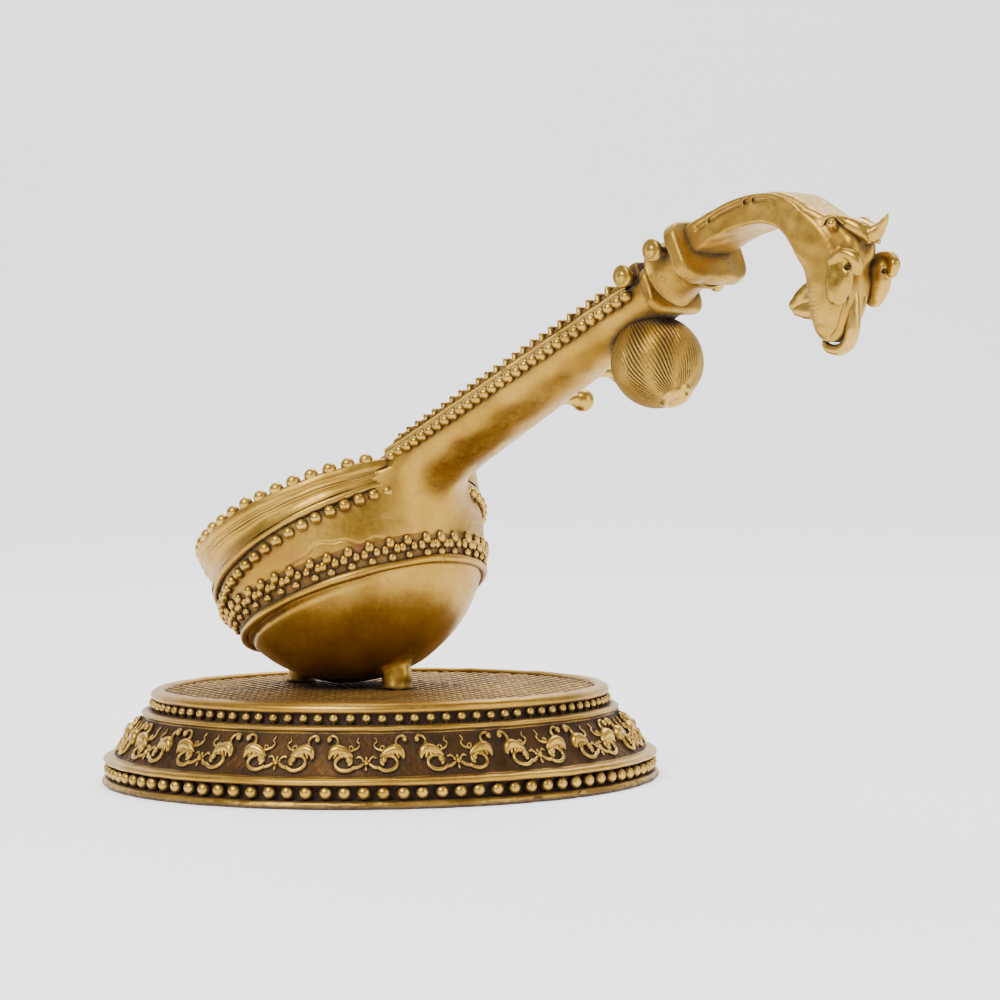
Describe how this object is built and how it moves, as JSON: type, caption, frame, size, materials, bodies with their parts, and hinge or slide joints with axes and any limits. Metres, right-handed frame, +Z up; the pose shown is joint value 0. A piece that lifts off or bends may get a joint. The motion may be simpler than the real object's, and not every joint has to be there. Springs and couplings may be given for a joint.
{
  "type": "miniature lute ornament",
  "caption": "Small cast-brass veena-type lute with a round bowl, beast-headed pegbox and gourd, on a round beaded plinth; its tuning pegs turn.",
  "frame": {"origin": "centre of the plinth's underside, on the surface it stands on", "axes": "+Z up, +X the way the neck points, -Y the side that faces the viewer when the head is at the right"},
  "size_m": [0.1496, 0.09, 0.0888],
  "materials": {
    "polished_brass": "rubbed bright antique gold",
    "satin_brass": "satin antique gold with dark grime in recesses",
    "pitted_brass": "rough speckled antique gold",
    "dark_patina": "dark brown patina, rubbed edges",
    "steel": "plain zinc-plated steel"
  },
  "bodies": {
    "root": {"plinth_shell": "satin_brass", "woven_panel": "dark_patina", "upper_bead_ring": "polished_brass", "lower_bead_ring": "polished_brass", "frieze_birds": "polished_brass", "frieze_scrolls": "polished_brass", "frieze_flowers": "polished_brass", "bowl_feet": "satin_brass", "foot_screws": "steel", "screw_washers": "steel", "bowl_shell": "satin_brass", "soundboard": "satin_brass", "rim_band": "satin_brass", "rim_beads": "polished_brass", "tail_band": "satin_brass", "upper_piping": "polished_brass", "side_beads": "polished_brass", "flower_band": "polished_brass", "lower_piping": "polished_brass", "bridge": "satin_brass", "sound_rosettes": "dark_patina", "neck": "satin_brass", "neck_root": "satin_brass", "fingerboard": "satin_brass", "fret_rails": "dark_patina", "frets": "dark_patina", "neck_bead_rows": "polished_brass", "nut": "dark_patina", "collar_lower": "pitted_brass", "collar_waist": "pitted_brass", "collar_upper": "pitted_brass", "pegbox_arch": "satin_brass", "pegbox_cap": "satin_brass", "beast_head": "satin_brass", "head_crest": "polished_brass", "head_ears": "polished_brass", "head_eyes": "polished_brass", "head_trunk": "polished_brass", "trunk_ball": "polished_brass", "throat_leaf": "satin_brass", "gourd": "pitted_brass", "gourd_end_ring": "polished_brass"},
    "peg_near_upper": {"peg_near_upper": "polished_brass"},
    "peg_near_lower": {"peg_near_lower": "polished_brass"},
    "peg_far_upper": {"peg_far_upper": "polished_brass"},
    "peg_far_mid": {"peg_far_mid": "polished_brass"},
    "peg_far_low": {"peg_far_low": "polished_brass"}
  },
  "joints": [
    {"name": "peg_near_upper_turn", "type": "hinge", "parent": "root", "child": "peg_near_upper", "pos_m": [0.06689, 0, 0.08119], "axis": [0, -1, 0], "continuous": true},
    {"name": "peg_near_lower_turn", "type": "hinge", "parent": "root", "child": "peg_near_lower", "pos_m": [0.06075, 0, 0.07778], "axis": [0, -1, 0], "continuous": true},
    {"name": "peg_far_upper_turn", "type": "hinge", "parent": "root", "child": "peg_far_upper", "pos_m": [0.06699, 0, 0.07671], "axis": [0, 1, 0], "continuous": true},
    {"name": "peg_far_mid_turn", "type": "hinge", "parent": "root", "child": "peg_far_mid", "pos_m": [0.04267, 0, 0.06449], "axis": [0, 1, 0], "continuous": true},
    {"name": "peg_far_low_turn", "type": "hinge", "parent": "root", "child": "peg_far_low", "pos_m": [0.03442, 0, 0.06042], "axis": [0, 1, 0], "continuous": true}
  ]
}
